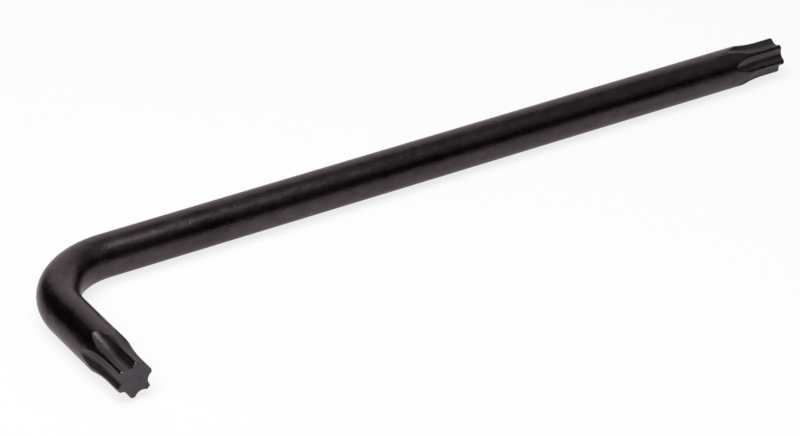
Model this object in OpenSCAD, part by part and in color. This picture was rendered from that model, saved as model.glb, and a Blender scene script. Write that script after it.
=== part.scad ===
// Star key: one round steel bar, bent to an L, with a six-lobed drive milled on both ends.
// It lies flat on its side: long arm along X, short arm towards -Y, underside at z = 0.

/* [Bar] */
// Diameter of the round bar
bar_d = 6.35; // [6:0.05:7.5]
// Overall length of the long arm, from the outside of the bend to its tip
long_reach = 135; // [60:0.1:250]
// Overall length of the short arm, from the outside of the bend to its tip
short_reach = 34.7; // [28:0.1:60]
// Bend radius of the bar's centre line
bend_r = 11.8; // [5:0.1:15]

/* [Drive] */
// Diameter over the tips of two opposite lobes
drive_a = 5.49; // [5.2:0.01:5.8]
// Diameter between the floors of two opposite flutes
drive_b = 3.97; // [3.8:0.01:4.1]
// Radius of a lobe's rounded sides
lobe_r = 0.45; // [0.35:0.01:0.55]
// Slope of a lobe's crest on each side of its ridge, in degrees
crest_slope = 10; // [5:1:20]
// Length of the drive with its full section, from the end face
land = 2.9; // [1:0.1:6]
// Radius of the round milling cutter, which leaves the run-out of the flutes
cutter_r = 19.5; // [10:0.5:25]
// Chamfer on the lobes at the end face
tip_chamfer = 0.12; // [0.05:0.01:0.4]

/* [Turn of the lobes] */
// Turn of a lobe on the long arm's end, from straight up towards the short arm's side
long_turn = 35; // [0:1:60]
// Turn of a lobe on the short arm's end, from the long arm's side towards straight up
short_turn = 20; // [0:1:60]

/* [Hidden] */
$fn = 96;

// Corner where the two centre lines would cross, with the whole key centred on the origin
corner = [(bar_d - long_reach) / 2, (short_reach - bar_d) / 2, bar_d / 2];
long_arm = long_reach - bar_d / 2 - bend_r;
short_arm = short_reach - bar_d / 2 - bend_r;

// Drive section: six lobes with six round flutes between them
lobes = 6;
pitch = 360 / lobes;
half_pitch = pitch / 2;
floor_r = drive_b / 2;
lobe_c = drive_a / 2 - lobe_r / cos(crest_slope);
// A flute touches the floor and the sides of both its lobes, which sets its radius
flute_r = (pow(lobe_c, 2) + pow(floor_r, 2) - 2 * lobe_c * floor_r * cos(half_pitch) - pow(lobe_r, 2))
    / (2 * (lobe_r - floor_r + lobe_c * cos(half_pitch)));
flute_c = floor_r + flute_r;
// The cutter bites this far past the touching point, so that the round faces cross cleanly
bite = 0.004;

// How far the cutter's section reaches past the bar
margin = 1;
// The cutter turns until its rim has left the bar, and this many degrees more
exit_margin = 3;
cutter_axis = floor_r + cutter_r;
exit_turn = acos((cutter_axis - bar_d / 2) / cutter_r) + exit_margin;

function polar(r, a) = [r * cos(a), r * sin(a)];
function unit(v) = v / norm(v);
function reversed(list) = [for (i = [len(list) - 1:-1:0]) list[i]];

// One half of the cutter's outline, from outside the bar, past a lobe's crest, to the flute
function half_outline(side) =
    let (
        lobe = polar(lobe_c, side * half_pitch),
        inner_r = lobe_r - bite / 2,
        lean = half_pitch - crest_slope,
        crest = lobe + polar(inner_r, side * lean),
        reach = bar_d / 2 * sin(half_pitch) + margin / 2,
        run = (reach - abs(crest.y)) / cos(lean),
        eave = crest + run * [-sin(lean), side * cos(lean)],
        touch = lobe + inner_r * unit([flute_c, 0] - lobe)
    ) [[bar_d / 2 + margin, eave.y], eave, crest, touch];

// Section of the form cutter for one flute, which lies along +X
module cutter_section() {
    difference() {
        polygon(concat(half_outline(-1), reversed(half_outline(1))));
        for (side = [-1, 1]) translate(polar(lobe_c, side * half_pitch)) circle(lobe_r);
    }
    translate([flute_c, 0]) circle(flute_r + bite);
}

// What the cutter takes for one flute, from the end face at z = 0 upwards:
// a straight run, then the cutter's own round as it leaves the bar
module flute_cut() {
    translate([0, 0, -margin]) linear_extrude(land + margin) cutter_section();
    translate([cutter_axis, 0, land]) rotate([90, 0, 180])
        rotate_extrude(angle = exit_turn)
            translate([cutter_axis, 0]) mirror([1, 0]) cutter_section();
}

// A straight arm from the bend at z = 0 to its milled end
module arm(length, turn) {
    nose = (bar_d - drive_a) / 2 + tip_chamfer;
    difference() {
        union() {
            cylinder(h = length - nose, d = bar_d);
            translate([0, 0, length - nose]) cylinder(h = nose, d1 = bar_d, d2 = bar_d - 2 * nose);
        }
        for (i = [0:lobes - 1])
            rotate(turn + half_pitch + i * pitch) translate([0, 0, length]) rotate([180, 0, 0]) flute_cut();
    }
}

// A quarter turn of the bar, from the short arm round to the long arm
module bend() {
    translate([bend_r, -bend_r, 0]) rotate(90)
        rotate_extrude(angle = 90) translate([bend_r, 0]) circle(d = bar_d);
}

module key_bar() {
    color([0.16, 0.14, 0.14]) translate(corner) {
        bend();
        translate([bend_r, 0, 0]) rotate([0, 90, 0]) arm(long_arm, long_turn);
        translate([0, -bend_r, 0]) rotate([90, 0, 0]) arm(short_arm, short_turn);
    }
}

key_bar();
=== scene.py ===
# Star key: an L-shaped bar of black-oxide steel with a six-lobed drive milled on both ends.
from math import atan2, cos, pi, radians, sin, sqrt

import bpy
from mathutils import Matrix, Vector


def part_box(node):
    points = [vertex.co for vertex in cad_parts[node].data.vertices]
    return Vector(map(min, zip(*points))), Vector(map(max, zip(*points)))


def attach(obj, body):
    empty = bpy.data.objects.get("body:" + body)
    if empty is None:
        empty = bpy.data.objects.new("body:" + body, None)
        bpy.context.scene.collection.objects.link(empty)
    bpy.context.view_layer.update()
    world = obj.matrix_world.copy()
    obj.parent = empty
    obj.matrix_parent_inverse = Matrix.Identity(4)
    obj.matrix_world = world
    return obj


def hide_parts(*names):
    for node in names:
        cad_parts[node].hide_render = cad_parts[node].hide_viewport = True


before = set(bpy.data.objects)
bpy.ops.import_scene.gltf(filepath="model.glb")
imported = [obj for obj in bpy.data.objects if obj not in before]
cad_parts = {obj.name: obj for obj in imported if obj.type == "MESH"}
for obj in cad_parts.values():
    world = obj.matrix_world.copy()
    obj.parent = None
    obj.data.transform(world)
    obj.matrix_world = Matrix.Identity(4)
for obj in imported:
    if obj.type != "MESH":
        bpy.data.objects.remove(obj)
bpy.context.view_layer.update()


# Milled drive. The last stretch of the round bar, with six flutes that a round form cutter has milled.
# Each flute runs straight from the end face, then rises out of the bar along the cutter's own radius.
# It is modelled once, as a stack of rings that follow the flutes' borders, and copied to both ends.
bar_low, bar_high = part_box("key_bar")
bar_r = (bar_high.z - bar_low.z) / 2
lobe_count = 6
half_pitch = pi / lobe_count
lobe_tip_r = 0.00549 / 2
flute_floor_r = 0.00397 / 2
lobe_side_r = 0.00045
crest_slope = radians(10)
full_section = 0.0029
cutter_r = 0.0195
tip_chamfer = 0.00012
border_round = 0.00008
end_round = 0.00004
rim_fade = 0.0001
plain_end = 0.0015
merge_gap = 3e-6
hairline = 1e-7

lobe_centre_r = lobe_tip_r - lobe_side_r / cos(crest_slope)
flute_r = (
    lobe_centre_r**2 + flute_floor_r**2 - lobe_side_r**2
    - 2 * lobe_centre_r * flute_floor_r * cos(half_pitch)
) / (2 * (lobe_side_r - flute_floor_r + lobe_centre_r * cos(half_pitch)))
flute_centre = Vector((flute_floor_r + flute_r, 0))
lobe_centre = lobe_centre_r * Vector((cos(half_pitch), sin(half_pitch)))
to_flute = flute_centre - lobe_centre
touch = atan2(to_flute.y, to_flute.x)
crest = half_pitch - crest_slope
flute_run = -touch * flute_r
side_run = (crest - touch) * lobe_side_r
cutter_axis_r = flute_floor_r + cutter_r
flute_end = full_section + sqrt(cutter_r**2 - (cutter_axis_r - bar_r) ** 2)
drive_length = flute_end + plain_end


def last_true(low, high, test):
    """The largest value between low and high for which the test holds, by halving."""
    for _ in range(40):
        middle = (low + high) / 2
        low, high = (middle, high) if test(middle) else (low, middle)
    return low


def cut_point(run, from_end):
    """Radius and angle of the cut surface; run is measured from the flute's floor over the lobe's side."""
    if run < flute_run:
        turn = pi - run / flute_r
        point = flute_centre + flute_r * Vector((cos(turn), sin(turn)))
    else:
        turn = min(touch + (run - flute_run) / lobe_side_r, crest)
        point = lobe_centre + lobe_side_r * Vector((cos(turn), sin(turn)))
        point += max(run - flute_run - side_run, 0) * Vector((-sin(crest), cos(crest)))
    rise = max(from_end - full_section, 0)
    point.x = cutter_axis_r - sqrt((cutter_axis_r - point.x) ** 2 - rise**2)
    return point.length, atan2(point.y, point.x)


def run_to(angle, from_end):
    """The run at which the cut surface reaches this angle."""
    return last_true(0, flute_run + side_run + bar_r, lambda run: cut_point(run, from_end)[1] < angle)


def steel_radius(cut):
    """Radius of the steel where the cut has this radius; its border with the round bar is rounded."""
    near = max(border_round - abs(cut - bar_r), 0) / border_round
    return min(cut, bar_r) - near**2 * border_round / 4


flute_steps = 24
bar_steps = 12
flute_crowding = 1.5
bar_crowding = 1.7


def half_lobe(from_end):
    """Radius and angle of a ring's points, from a flute's floor past its border to the next crest.
    The points crowd towards the border, where the steel turns most."""
    crest_run = run_to(half_pitch, from_end)
    border = last_true(0, crest_run, lambda run: cut_point(run, from_end)[0] < bar_r)
    points = []
    for i in range(flute_steps + 1):
        radius, angle = cut_point(border * (1 - (1 - i / flute_steps) ** flute_crowding), from_end)
        points.append((steel_radius(radius), angle))
    border_angle = points[-1][1]
    for i in range(1, bar_steps + 1):
        angle = border_angle + (half_pitch - border_angle) * (i / bar_steps) ** bar_crowding
        points.append((steel_radius(cut_point(run_to(angle, from_end), from_end)[0]), angle))
    chamfer = lobe_tip_r - tip_chamfer + from_end
    return [(min(radius, chamfer), angle) for radius, angle in points]


def round_half():
    """The same for a ring on the plain round bar."""
    flute = [(bar_r, 0)] * (flute_steps + 1)
    return flute + [(bar_r, half_pitch * i / bar_steps) for i in range(1, bar_steps + 1)]


def whole_ring(half, from_end):
    """The points of a whole ring, from half a lobe that is mirrored and then repeated round the bar."""
    flute = [(radius, -angle) for radius, angle in reversed(half[1:])] + half[:-1]
    turns = [half_pitch * (2 * k + 1) for k in range(lobe_count)]
    ring = [(radius, angle + turn) for turn in turns for radius, angle in flute]
    return [Vector((radius * cos(angle), radius * sin(angle), -from_end)) for radius, angle in ring]


def crest_is_cut(from_end):
    """True where the cutter still takes the crests of the lobes."""
    return cut_point(run_to(half_pitch, from_end), from_end)[0] < bar_r


crest_end = last_true(full_section, flute_end, crest_is_cut)
crest_rise = crest_end - full_section
crest_rings = 10
runout = flute_end - crest_end
runout_rings = 28
# The rings' distances from the end face: the chamfered rim, the rising crests, the flutes' run-out, the bar.
stations = [0, tip_chamfer, tip_chamfer + rim_fade, full_section]
stations += [full_section + crest_rise * i / crest_rings for i in range(1, crest_rings + 1)]
stations += [crest_end + runout * (1 - cos(pi * i / runout_rings)) / 2 for i in range(1, runout_rings + 1)]
stations += [flute_end + border_round * share for share in (0.4, 1, 2, 4)]
rings = [whole_ring(half_lobe(from_end), from_end) for from_end in stations]
rings.append(whole_ring(round_half(), drive_length))
ring_size = len(rings[0])

bpy.ops.object.select_all(action="DESELECT")
bpy.ops.mesh.primitive_circle_add(vertices=ring_size, radius=bar_r)
drive = bpy.context.object
drive.name = "short_drive"
bpy.ops.object.mode_set(mode="EDIT")
bpy.ops.mesh.select_all(action="SELECT")
for ring in rings[1:]:
    bpy.ops.mesh.extrude_region_move(TRANSFORM_OT_translate={"value": (0, 0, -bar_r)})
bpy.ops.object.mode_set(mode="OBJECT")
for vertex in drive.data.vertices:
    step = round(-vertex.co.z / bar_r)
    place = round(atan2(vertex.co.y, vertex.co.x) / (2 * pi) * ring_size) % ring_size
    vertex.co = rings[step][place]
bpy.ops.object.mode_set(mode="EDIT")
bpy.ops.mesh.select_all(action="SELECT")
bpy.ops.mesh.remove_doubles(threshold=merge_gap)
bpy.ops.object.mode_set(mode="OBJECT")


def select_edges(piece, test):
    """Selects the edges whose two ends both pass the test, and nothing else."""
    bpy.ops.object.mode_set(mode="EDIT")
    bpy.ops.mesh.select_mode(type="EDGE")
    bpy.ops.mesh.select_all(action="DESELECT")
    bpy.ops.object.mode_set(mode="OBJECT")
    vertices = piece.data.vertices
    for edge in piece.data.edges:
        edge.select = all(test(vertices[v].co) for v in edge.vertices)
    bpy.ops.object.mode_set(mode="EDIT")


select_edges(drive, lambda place: place.z > -hairline)
bpy.ops.mesh.edge_face_add()
select_edges(drive, lambda place: place.z > -hairline)
bpy.ops.mesh.bevel(offset=end_round, segments=2, affect="EDGES")
bpy.ops.object.mode_set(mode="OBJECT")


def is_machined(point):
    """True on the flutes' round floors and the end face, which keep the marks of cutter and saw."""
    around = (atan2(point.y, point.x) / half_pitch) % 2 - 1
    across = point.xy.length * Vector((cos(around * half_pitch), abs(sin(around * half_pitch))))
    rise = max(-point.z - full_section, 0)
    before_rise = cutter_axis_r - sqrt((cutter_axis_r - across.x) ** 2 + rise**2)
    off_flute = (Vector((before_rise, across.y)) - flute_centre).length - flute_r
    return point.z > -hairline or abs(off_flute) < end_round / 2


def wear(point):
    """How far the oxide has worn off, which it does on the rim of the end face, most at the lobes."""
    on_rim = -tip_chamfer - hairline < point.z < -hairline
    height = (point.xy.length - flute_floor_r) / (lobe_tip_r - flute_floor_r)
    return on_rim * max(height, 0) ** 2


machined = drive.data.attributes.new("machined", "FLOAT", "POINT")
worn = drive.data.attributes.new("worn", "FLOAT", "POINT")
for vertex in drive.data.vertices:
    machined.data[vertex.index].value = is_machined(vertex.co)
    worn.data[vertex.index].value = wear(vertex.co)


# Bent bar. One length of round steel, drawn, cut square and bent cold to an L over a round former.
# It grows out of the short end's drive, turns through the bend and runs on to the long end's drive.
# The key lies on its side, so both arms touch the floor along their whole length.
bend_r = 0.0118
long_turn = radians(35)
short_turn = radians(20)
corner = Vector((bar_low.x + bar_r, bar_high.y - bar_r, bar_low.z + bar_r))
bend_centre = corner + Vector((bend_r, -bend_r, 0))
long_tip = Vector((bar_high.x, corner.y, corner.z))
short_tip = Vector((corner.x, bar_low.y, corner.z))

bpy.ops.object.select_all(action="DESELECT")
drive.select_set(True)
bpy.ops.object.duplicate()
far_drive = bpy.context.object
far_drive.data.transform(
    Matrix.Translation(long_tip) @ Matrix.Rotation(pi / 2, 4, "Y") @ Matrix.Rotation(long_turn, 4, "Z"))
drive.data.transform(
    Matrix.Translation(short_tip) @ Matrix.Rotation(pi / 2, 4, "X") @ Matrix.Rotation(short_turn, 4, "Z"))

bend_steps = 40
shank_steps = 24
ring_gap = 1e-6
sharp_edge = radians(40)
short_run = short_tip.y + drive_length
shank_end = long_tip.x - drive_length
shank_step = (shank_end - bend_centre.x) / shank_steps
bpy.ops.object.select_all(action="DESELECT")
drive.select_set(True)
bpy.context.view_layer.objects.active = drive
select_edges(drive, lambda place: place.y > short_run - ring_gap)
bpy.ops.mesh.extrude_region_move(TRANSFORM_OT_translate={"value": (0, bend_centre.y - short_run, 0)})
bpy.ops.mesh.spin(steps=bend_steps, angle=pi / 2, center=bend_centre, axis=(0, 0, 1))
for _ in range(shank_steps):
    bpy.ops.mesh.extrude_region_move(TRANSFORM_OT_translate={"value": (shank_step, 0, 0)})
bpy.ops.object.mode_set(mode="OBJECT")

far_drive.select_set(True)
drive.select_set(True)
bpy.context.view_layer.objects.active = drive
bpy.ops.object.join()
key = bpy.context.object
key.name = "star_key"
select_edges(key, lambda place: abs(place.x - shank_end) < ring_gap)
bpy.ops.mesh.remove_doubles(threshold=2 * ring_gap)
bpy.ops.mesh.select_all(action="SELECT")
bpy.ops.mesh.normals_make_consistent(inside=False)
bpy.ops.object.mode_set(mode="OBJECT")
bpy.ops.object.shade_smooth_by_angle(angle=sharp_edge)
steady = key.modifiers.new("flat_faces_stay_flat", "WEIGHTED_NORMAL")
steady.keep_sharp = True
bpy.ops.object.modifier_apply(modifier=steady.name)


# Black oxide. The steel is hardened, blackened in a hot salt bath and oiled.
# It leaves a thin skin of brown-black oxide with a satin sheen, finely grained and a little cloudy.
# The grain follows the bar round its bend, so each point keeps its place on the straight bar.
def place_on_straight_bar(point):
    """Distance along the bar from the bend's start, outwards from its centre line, and upwards."""
    if point.y < bend_centre.y and point.x < bend_centre.x:
        return point.y - bend_centre.y, corner.x - point.x, point.z - corner.z
    if point.x > bend_centre.x:
        return bend_r * pi / 2 + point.x - bend_centre.x, point.y - corner.y, point.z - corner.z
    out = point - bend_centre
    return bend_r * atan2(out.y, -out.x), out.xy.length - bend_r, out.z


bar_place = key.data.attributes.new("bar_place", "FLOAT_VECTOR", "POINT")
for vertex in key.data.vertices:
    bar_place.data[vertex.index].vector = place_on_straight_bar(vertex.co)

black_oxide = bpy.data.materials.new("black_oxide_steel")
black_oxide.use_nodes = True
nodes = black_oxide.node_tree.nodes
links = black_oxide.node_tree.links
skin = nodes["Principled BSDF"]
skin.inputs["Metallic"].default_value = 1.0
skin.inputs["Specular Tint"].default_value = (0.92, 0.85, 0.86, 1)

straight_bar = nodes.new("ShaderNodeAttribute")
straight_bar.attribute_name = "bar_place"


def noise(name, scale, detail, stretch=(1, 1, 1)):
    """A noise pattern in the straight bar's own frame; scale is in features per metre."""
    mapping = nodes.new("ShaderNodeMapping")
    mapping.inputs["Scale"].default_value = stretch
    links.new(straight_bar.outputs["Vector"], mapping.inputs["Vector"])
    texture = nodes.new("ShaderNodeTexNoise")
    texture.name = name
    texture.inputs["Scale"].default_value = scale
    texture.inputs["Detail"].default_value = detail
    links.new(mapping.outputs["Vector"], texture.inputs["Vector"])
    return texture.outputs["Fac"]


def remap(value, span, to_span):
    """The value, stretched from one span to another."""
    node = nodes.new("ShaderNodeMapRange")
    node.inputs["From Min"].default_value = span[0]
    node.inputs["From Max"].default_value = span[1]
    node.inputs["To Min"].default_value = to_span[0]
    node.inputs["To Max"].default_value = to_span[1]
    links.new(value, node.inputs["Value"])
    return node.outputs["Result"]


def maths(operation, one, two):
    """A sum in the first value's own node tree; the second value may be a plain number."""
    tree = one.id_data
    node = tree.nodes.new("ShaderNodeMath")
    node.operation = operation
    tree.links.new(one, node.inputs[0])
    if isinstance(two, bpy.types.NodeSocket):
        tree.links.new(two, node.inputs[1])
    else:
        node.inputs[1].default_value = two
    return node.outputs["Value"]


clouds = noise("clouds", scale=70, detail=3)
smudges = noise("smudges", scale=700, detail=3, stretch=(0.6, 1, 1))
speckle = noise("speckle", scale=2600, detail=2)
grain = noise("grain", scale=9000, detail=2)
drawn_streaks = noise("drawn_streaks", scale=2200, detail=2, stretch=(0.03, 1, 1))
cloud_span = (0.35, 0.65)
fine_span = (0.3, 0.7)


def drive_share(attribute_name):
    """A share that the drives' points carry; it is nothing on the plain bar."""
    node = nodes.new("ShaderNodeAttribute")
    node.attribute_name = attribute_name
    return node.outputs["Fac"]


milled = drive_share("machined")

tone = maths("ADD", remap(clouds, cloud_span, (0, 0.3)), remap(smudges, fine_span, (0, 0.5)))
tone = maths("ADD", tone, remap(speckle, fine_span, (0, 0.2)))


def ramp(dark, light):
    """A colour that runs from dark to light with the tone."""
    node = nodes.new("ShaderNodeValToRGB")
    node.color_ramp.elements[0].color = dark
    node.color_ramp.elements[1].color = light
    links.new(tone, node.inputs["Fac"])
    return node.outputs["Color"]


def laid_over(colour, share, other):
    """The colour turned to the other by the share."""
    node = nodes.new("ShaderNodeMix")
    node.data_type = "RGBA"
    links.new(share, node.inputs["Factor"])
    links.new(colour, node.inputs["A"])
    links.new(other, node.inputs["B"])
    return node.outputs["Result"]


drawn_colour = ramp((0.0430, 0.0338, 0.0352, 1), (0.0880, 0.0705, 0.0725, 1))
milled_colour = ramp((0.0690, 0.0592, 0.0657, 1), (0.1125, 0.0966, 0.1072, 1))
worn_colour = ramp((0.1500, 0.1350, 0.1400, 1), (0.2700, 0.2450, 0.2500, 1))
colour = laid_over(drawn_colour, milled, milled_colour)
colour = laid_over(colour, drive_share("worn"), worn_colour)
links.new(colour, skin.inputs["Base Color"])

milled_roughness = 0.11
roughness = maths(
    "ADD", remap(clouds, cloud_span, (0.27, 0.30)), remap(drawn_streaks, fine_span, (-0.02, 0.02)))
roughness = maths("ADD", roughness, remap(smudges, fine_span, (-0.02, 0.02)))
roughness = maths("ADD", roughness, maths("MULTIPLY", milled, milled_roughness))
links.new(roughness, skin.inputs["Roughness"])

normal = None
for pattern, depth in ((grain, 0.000010), (speckle, 0.000030), (smudges, 0.000060)):
    relief = nodes.new("ShaderNodeBump")
    relief.inputs["Distance"].default_value = depth
    links.new(pattern, relief.inputs["Height"])
    if normal:
        links.new(normal, relief.inputs["Normal"])
    normal = relief.outputs["Normal"]
links.new(normal, skin.inputs["Normal"])

key.data.materials.clear()
key.data.materials.append(black_oxide)
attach(key, "root")
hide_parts("key_bar")


# Floor and backdrop. Glazed white paper lies under the key, and matt white cards stand behind it.
# They are white in the picture and pale in the steel, and the paper keeps the key's shadow.
def white_paper(name, in_picture, in_steel, glaze=0):
    """Paper with a share of plain white as seen directly, and another as steel mirrors it.
    Where steel mirrors a glazed sheet at a low slant, the glaze shows the dim room instead."""
    material = bpy.data.materials.new(name)
    material.use_nodes = True
    tree = material.node_tree
    tree.nodes.clear()

    def mixed(share, one, two):
        node = tree.nodes.new("ShaderNodeMixShader")
        tree.links.new(share, node.inputs["Fac"])
        tree.links.new(one, node.inputs[1])
        tree.links.new(two, node.inputs[2])
        return node.outputs["Shader"]

    matt = tree.nodes.new("ShaderNodeBsdfDiffuse")
    matt.inputs["Color"].default_value = (0.95, 0.95, 0.95, 1)
    white = tree.nodes.new("ShaderNodeEmission")
    white.inputs["Color"].default_value = (1, 1, 1, 1)
    white.inputs["Strength"].default_value = 1.0
    glazing = tree.nodes.new("ShaderNodeBsdfGlossy")
    glazing.inputs["Roughness"].default_value = 0.3
    slant = tree.nodes.new("ShaderNodeFresnel")
    slant.inputs["IOR"].default_value = 1.5

    path = tree.nodes.new("ShaderNodeLightPath").outputs
    seen = maths("MULTIPLY", path["Is Camera Ray"], in_picture)
    mirrored = maths("MAXIMUM", path["Is Glossy Ray"], path["Is Transmission Ray"])
    white_share = maths("ADD", seen, maths("MULTIPLY", mirrored, in_steel))
    glaze_share = maths("MULTIPLY", maths("MULTIPLY", slant.outputs["Fac"], mirrored), glaze)
    paper = mixed(white_share, matt.outputs["BSDF"], white.outputs["Emission"])
    sheet = mixed(glaze_share, paper, glazing.outputs["BSDF"])
    tree.links.new(sheet, tree.nodes.new("ShaderNodeOutputMaterial").inputs["Surface"])
    return material


floor_paper = white_paper("floor_paper", in_picture=0.8, in_steel=0.55, glaze=0.7)
floor_size = 10
floor_gap = 0.00002
bpy.ops.object.select_all(action="DESELECT")
bpy.ops.mesh.primitive_plane_add(size=floor_size, location=(0, 0, bar_low.z - floor_gap))
floor = bpy.context.object
floor.name = "floor"
floor.data.materials.append(floor_paper)


def towards(azimuth, elevation):
    """Direction from the key; the azimuth turns from +Y towards +X, the long arm's tip."""
    azimuth, elevation = radians(azimuth), radians(elevation)
    return Vector((sin(azimuth) * cos(elevation), cos(azimuth) * cos(elevation), sin(elevation)))


def stand_card(name, azimuth, distance, width, height, paper):
    """A card that stands on the floor and faces the key."""
    bpy.ops.object.select_all(action="DESELECT")
    bpy.ops.mesh.primitive_plane_add(size=1)
    card = bpy.context.object
    card.name = name
    card.data.transform(
        Matrix.Translation(towards(azimuth, 0) * distance) @ Matrix.Rotation(-radians(azimuth), 4, "Z")
        @ Matrix.Diagonal((width, 1, height, 1)) @ Matrix.Translation((0, 0, 0.5))
        @ Matrix.Rotation(pi / 2, 4, "X"))
    card.data.materials.append(paper)


bright_card = white_paper("bright_card", in_picture=1, in_steel=0.85)
stand_card("backdrop", azimuth=29, distance=1.25, width=1.18, height=1.42, paper=bright_card)
stand_card("right_card", azimuth=62, distance=1.38, width=0.38, height=1.1, paper=bright_card)
dim_card = white_paper("dim_card", in_picture=1, in_steel=0.3)
stand_card("left_card", azimuth=-0.5, distance=1.38, width=0.22, height=1.42, paper=dim_card)


# Lamps and camera. A soft box hangs over the bend, and a large soft lamp at the left front fills in.
# Two dim lamps on the right give the long arm its upper sheen and light it along its length.
# The camera looks down over the short arm, along the long one.
level_power = 4


def soft_lamp(name, location, aim, width, height, level, turn=0):
    """A soft area lamp that faces its aim. Level 1 is as bright as white paper in full light,
    which takes level_power watts for each square metre of lamp."""
    lamp = bpy.data.lights.new(name, "AREA")
    lamp.shape = "RECTANGLE"
    lamp.size = width
    lamp.size_y = height
    lamp.energy = level * level_power * width * height
    stand = bpy.data.objects.new(name, lamp)
    bpy.context.scene.collection.objects.link(stand)
    stand.location = location
    facing = (location - aim).to_track_quat("Z", "Y").to_matrix().to_4x4()
    stand.rotation_euler = (facing @ Matrix.Rotation(radians(turn), 4, "Z")).to_euler()
    stand.visible_camera = False


key_middle = Vector((0, 0, 0))
above = Vector((-0.112, -0.06, 0.47))
below_lamp = above * Vector((1, 1, 0))
soft_lamp("overhead_lamp", above, below_lamp, width=0.34, height=0.44, level=3.4, turn=32)
soft_lamp("top_lamp", towards(105, 55) * 1.15, key_middle, width=1.42, height=0.9, level=0.18)
soft_lamp("front_lamp", towards(245, 45) * 1.6, key_middle, width=1.2, height=1.2, level=1.5)
soft_lamp("right_lamp", towards(90, 22) * 1.5, key_middle, width=0.6, height=0.4, level=0.12)

dim_room = 0.01
studio = bpy.data.worlds.new("studio")
bpy.context.scene.world = studio
studio.use_nodes = True
room = studio.node_tree.nodes["Background"]
room.inputs["Color"].default_value = (1, 1, 1, 1)
path = studio.node_tree.nodes.new("ShaderNodeLightPath").outputs
studio.node_tree.links.new(maths("MAXIMUM", path["Is Camera Ray"], dim_room), room.inputs["Strength"])

camera_azimuth, camera_elevation, camera_distance = 31.9855, 29.6629, 0.46411
camera_aim = Vector((-0.009362, 0.003958, 0.001250))
camera = bpy.data.objects.new("camera", bpy.data.cameras.new("camera"))
bpy.context.scene.collection.objects.link(camera)
camera.data.sensor_width = 36
camera.data.lens = 142.44
camera.data.clip_start = 0.01
camera.data.clip_end = 50
camera.location = camera_aim - towards(camera_azimuth, -camera_elevation) * camera_distance
camera.rotation_euler = (radians(90 - camera_elevation), 0, -radians(camera_azimuth))
bpy.context.scene.camera = camera
bpy.context.scene.view_settings.view_transform = "Standard"
